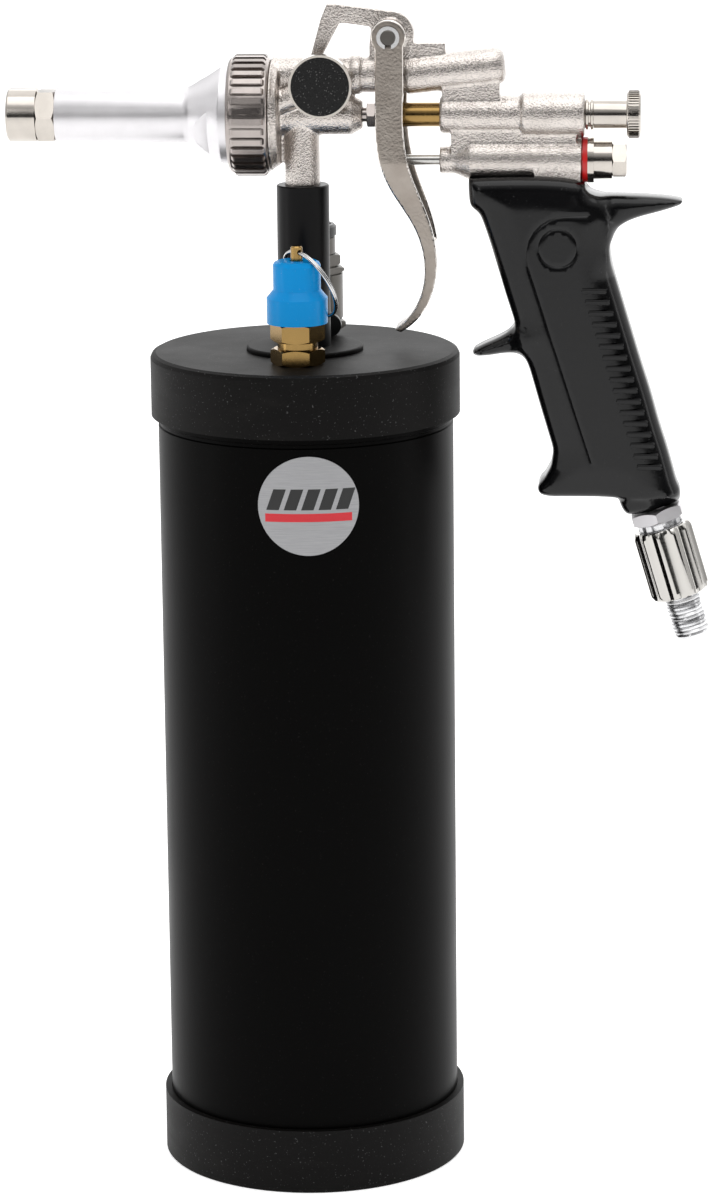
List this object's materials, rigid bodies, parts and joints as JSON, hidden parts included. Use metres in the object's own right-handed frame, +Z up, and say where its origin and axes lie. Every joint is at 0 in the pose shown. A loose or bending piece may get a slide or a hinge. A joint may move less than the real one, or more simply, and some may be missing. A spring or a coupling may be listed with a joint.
{
  "type": "bead seater blaster tank",
  "caption": "Slim black air tank with rubber end caps, relief and filling valves, and a nickel trigger gun with a long nozzle and pistol handle screwed on top.",
  "frame": {"origin": "centre of the tank's bottom face", "axes": "+Z up along the tank; -X towards the nozzle, +X towards the handle; -Y side carries the relief valve"},
  "size_m": [0.2547, 0.113, 0.4312],
  "materials": {
    "tank_paint": "satin black paint",
    "cap_rubber": "matte black rubber with a dusty bloom",
    "black_steel": "blackened, semi-gloss",
    "label_silver": "brushed",
    "seal_rubber": "matte",
    "ptfe": "waxy white",
    "brass": "machined",
    "blue_plastic": "moulded, semi-gloss",
    "spring_steel": "drawn wire",
    "rough_nickel": "sand-cast, nickel plated",
    "chrome_plate": "mirror plated",
    "black_plastic": "glossy black",
    "nickel_plate": "turned, nickel plated",
    "dark_nickel": "dark nickel, satin",
    "polished_nickel": "nickel plated, polished blade",
    "turned_steel": "turned",
    "satin_aluminium": "satin",
    "red_seal": "smooth red",
    "handle_plastic": "glossy black, moulded"
  },
  "bodies": {
    "tank": {"tank_tube": "tank_paint", "tank_top_head": "tank_paint", "tank_bottom_head": "tank_paint", "top_cap": "cap_rubber", "bottom_cap": "cap_rubber", "riser_flange": "black_steel", "riser_pipe": "black_steel", "label_plate": "label_silver", "stem_seal": "seal_rubber", "nozzle_gasket": "seal_rubber", "rod_seal": "seal_rubber", "needle_packing": "ptfe", "fill_valve_seats": "ptfe", "relief_body": "brass", "relief_bonnet": "brass", "needle_seat": "brass", "rod_bush": "brass", "air_valve_seat": "brass", "relief_cap": "blue_plastic", "relief_spring": "spring_steel", "fill_poppet_spring": "spring_steel", "needle_spring": "spring_steel", "air_valve_spring": "spring_steel", "trigger_clips": "spring_steel", "fill_valve_body": "rough_nickel", "gun_body": "rough_nickel", "fill_coupling_body": "nickel_plate", "nozzle_tip": "nickel_plate", "air_valve_cap": "nickel_plate", "inlet_core": "nickel_plate", "gland_nut": "dark_nickel", "trigger_pin": "turned_steel", "nozzle_tube": "satin_aluminium", "handle_collar": "satin_aluminium", "air_tube": "satin_aluminium", "air_valve_washer": "red_seal", "handle": "handle_plastic"},
    "trigger": {"trigger": "polished_nickel"},
    "needle_group": {"needle": "turned_steel", "needle_sleeve": "brass"},
    "air_valve": {"air_valve_rod": "turned_steel", "air_valve_poppet": "brass"},
    "spring_stop": {"needle_stop": "turned_steel"},
    "adjuster": {"adjuster_knob": "nickel_plate"},
    "ring_nut": {"ring_nut": "dark_nickel"},
    "side_knob": {"side_knob": "nickel_plate", "side_knob_disc": "black_plastic"},
    "flow_sleeve": {"flow_sleeve": "chrome_plate"},
    "relief_stem": {"relief_stem": "brass", "relief_seal": "seal_rubber"},
    "pull_ring": {"pull_ring": "spring_steel"},
    "fill_lever": {"fill_valve_lever": "black_plastic", "fill_valve_stem": "turned_steel", "fill_valve_ball": "chrome_plate", "fill_lever_screw": "turned_steel"},
    "coupling_sleeve": {"fill_coupling_sleeve": "nickel_plate", "fill_coupling_guard": "black_plastic"},
    "coupling_poppet": {"fill_poppet": "nickel_plate"}
  },
  "joints": [
    {"name": "trigger_pull", "type": "hinge", "parent": "tank", "child": "trigger", "pos_m": [0.0323, 0, 0.4203], "axis": [0, -1, 0], "range_deg": [0, 10], "stiffness_Nm_per_rad": 0.6, "springref_deg": -20.05},
    {"name": "needle_slide", "type": "slide", "parent": "tank", "child": "needle_group", "axis": [1, 0, 0], "range_m": [0, 0.0056], "deforming": ["needle_spring"]},
    {"name": "air_valve_slide", "type": "slide", "parent": "tank", "child": "air_valve", "axis": [1, 0, 0], "range_m": [0, 0.0082], "deforming": ["air_valve_spring"]},
    {"name": "adjuster_travel", "type": "slide", "parent": "tank", "child": "spring_stop", "axis": [1, 0, 0], "range_m": [0, 0.00375]},
    {"name": "adjuster_turn", "type": "hinge", "parent": "spring_stop", "child": "adjuster", "pos_m": [0.11, 0, 0.3912], "axis": [1, 0, 0], "range_deg": [0, 1080]},
    {"name": "ring_nut_turn", "type": "hinge", "parent": "tank", "child": "ring_nut", "pos_m": [-0.018, 0, 0.3912], "axis": [1, 0, 0], "continuous": true},
    {"name": "side_knob_turn", "type": "hinge", "parent": "tank", "child": "side_knob", "pos_m": [0.008, -0.014, 0.4032], "axis": [0, 1, 0], "range_deg": [0, 270]},
    {"name": "flow_sleeve_turn", "type": "hinge", "parent": "tank", "child": "flow_sleeve", "pos_m": [0.13338, 0, 0.22832], "axis": [0.284, 0, -0.9588], "range_deg": [0, 300]},
    {"name": "relief_lift", "type": "slide", "parent": "tank", "child": "relief_stem", "axis": [0, 0, 1], "range_m": [0, 0.002], "stiffness_N_per_m": 1500, "springref_m": -0.004, "deforming": ["relief_spring"]},
    {"name": "pull_ring_swing", "type": "hinge", "parent": "relief_stem", "child": "pull_ring", "pos_m": [0, -0.03, 0.346], "axis": [0.6368, -0.77, -0.0403], "range_deg": [0, 40]},
    {"name": "fill_lever_turn", "type": "hinge", "parent": "tank", "child": "fill_lever", "pos_m": [0, 0.02, 0.3175], "axis": [0, -1, 0], "range_deg": [0, 90]},
    {"name": "coupling_sleeve_lift", "type": "slide", "parent": "tank", "child": "coupling_sleeve", "axis": [0, 0, 1], "range_m": [0, 0.003], "stiffness_N_per_m": 400, "springref_m": -0.004},
    {"name": "coupling_poppet_press", "type": "slide", "parent": "tank", "child": "coupling_poppet", "axis": [0, 0, -1], "range_m": [0, 0.003], "stiffness_N_per_m": 500, "springref_m": -0.003, "deforming": ["fill_poppet_spring"]}
  ],
  "couplings": [
    {"joint": "needle_slide", "follows": "trigger_pull", "m_per_rad": 0.0315},
    {"joint": "air_valve_slide", "follows": "trigger_pull", "m_per_rad": 0.0465},
    {"joint": "adjuster_turn", "follows": "adjuster_travel", "rad_per_m": 5026.5}
  ]
}
